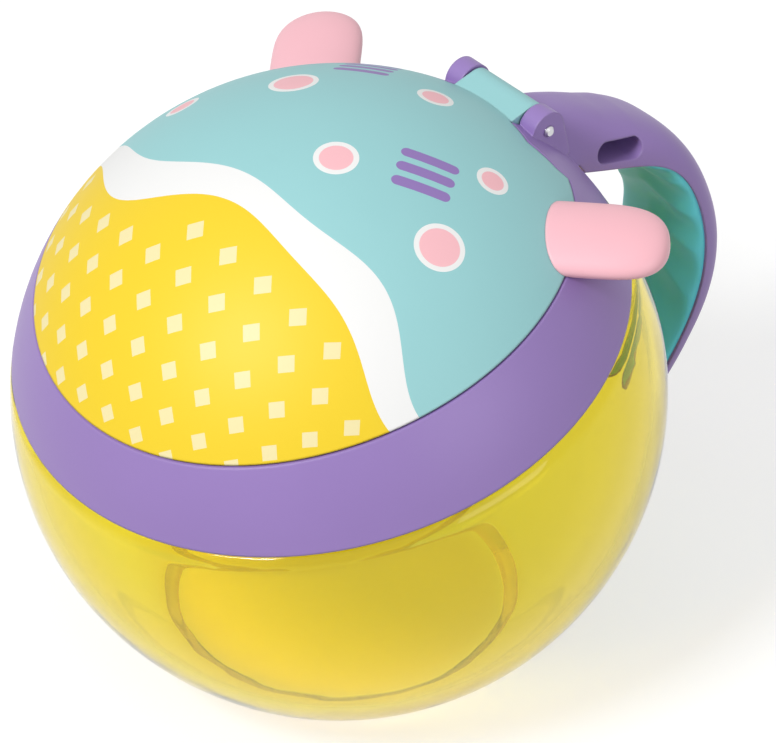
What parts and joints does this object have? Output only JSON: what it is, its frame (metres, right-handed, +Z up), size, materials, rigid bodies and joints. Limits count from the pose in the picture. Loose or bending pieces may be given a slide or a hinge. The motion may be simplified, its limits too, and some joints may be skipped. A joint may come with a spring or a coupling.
{
  "type": "toddler snack container",
  "caption": "Ball-shaped toddler snack cup: clear bowl, screw-on collar with a grip handle, soft flaps over the mouth and a domed flip lid with side tabs.",
  "frame": {"origin": "centre of the flat base, on the surface the container stands on", "axes": "+Z up, -Y the front of the lid, +Y the handle side, +X the right-hand tab"},
  "size_m": [0.1, 0.1237, 0.0927],
  "materials": {
    "clear_yellow": "clear tinted gloss",
    "purple_plastic": "fine satin",
    "teal_plastic": "semi gloss",
    "soft_teal": "soft matt",
    "soft_pink": "soft matt",
    "silicone": "soft matt",
    "steel": "satin"
  },
  "bodies": {
    "bowl": {"bowl": "clear_yellow"},
    "seal": {"neck_seal": "silicone"},
    "collar": {"collar": "purple_plastic", "handle_grip": "soft_teal", "flap_ring": "soft_teal", "hinge_pin": "steel"},
    "lid": {"lid": "teal_plastic", "tab_right": "soft_pink", "tab_left": "soft_pink"},
    "flap_1": {"flap_1": "soft_teal"},
    "flap_2": {"flap_2": "soft_teal"},
    "flap_3": {"flap_3": "soft_teal"},
    "flap_4": {"flap_4": "soft_teal"},
    "flap_5": {"flap_5": "soft_teal"},
    "flap_6": {"flap_6": "soft_teal"},
    "flap_7": {"flap_7": "soft_teal"},
    "flap_8": {"flap_8": "soft_teal"}
  },
  "joints": [
    {"name": "seal_lift", "type": "slide", "parent": "bowl", "child": "seal", "axis": [0, -0.2284, 0.9736], "range_m": [0, 0.006]},
    {"name": "collar_unscrew", "type": "hinge", "parent": "seal", "child": "collar", "pos_m": [0, 0, 0.04271], "axis": [0, -0.2284, 0.9736], "range_deg": [0, 360]},
    {"name": "lid_hinge", "type": "hinge", "parent": "collar", "child": "lid", "pos_m": [0, 0.03256, 0.08157], "axis": [-1, 0, 0], "range_deg": [0, 150]},
    {"name": "flap_1_fold", "type": "hinge", "parent": "collar", "child": "flap_1", "pos_m": [0.03005, -0.00578, 0.06734], "axis": [0, -0.9736, -0.2284], "range_deg": [0, 65], "stiffness_Nm_per_rad": 0.02, "springref_deg": -3.44},
    {"name": "flap_2_fold", "type": "hinge", "parent": "collar", "child": "flap_2", "pos_m": [0.02125, 0.01491, 0.07219], "axis": [0.7071, -0.6884, -0.1615], "range_deg": [0, 65], "stiffness_Nm_per_rad": 0.02, "springref_deg": -3.44},
    {"name": "flap_3_fold", "type": "hinge", "parent": "collar", "child": "flap_3", "pos_m": [0, 0.02348, 0.0742], "axis": [1, 0, 0], "range_deg": [0, 65], "stiffness_Nm_per_rad": 0.02, "springref_deg": -3.44},
    {"name": "flap_4_fold", "type": "hinge", "parent": "collar", "child": "flap_4", "pos_m": [-0.02125, 0.01491, 0.07219], "axis": [0.7071, 0.6884, 0.1615], "range_deg": [0, 65], "stiffness_Nm_per_rad": 0.02, "springref_deg": -3.44},
    {"name": "flap_5_fold", "type": "hinge", "parent": "collar", "child": "flap_5", "pos_m": [-0.03005, -0.00578, 0.06734], "axis": [0, 0.9736, 0.2284], "range_deg": [0, 65], "stiffness_Nm_per_rad": 0.02, "springref_deg": -3.44},
    {"name": "flap_6_fold", "type": "hinge", "parent": "collar", "child": "flap_6", "pos_m": [-0.02125, -0.02646, 0.06249], "axis": [-0.7071, 0.6884, 0.1615], "range_deg": [0, 65], "stiffness_Nm_per_rad": 0.02, "springref_deg": -3.44},
    {"name": "flap_7_fold", "type": "hinge", "parent": "collar", "child": "flap_7", "pos_m": [0, -0.03503, 0.06048], "axis": [-1, 0, 0], "range_deg": [0, 65], "stiffness_Nm_per_rad": 0.02, "springref_deg": -3.44},
    {"name": "flap_8_fold", "type": "hinge", "parent": "collar", "child": "flap_8", "pos_m": [0.02125, -0.02646, 0.06249], "axis": [-0.7071, -0.6884, -0.1615], "range_deg": [0, 65], "stiffness_Nm_per_rad": 0.02, "springref_deg": -3.44}
  ],
  "couplings": [
    {"joint": "seal_lift", "follows": "collar_unscrew", "m_per_rad": 0.00095492}
  ]
}
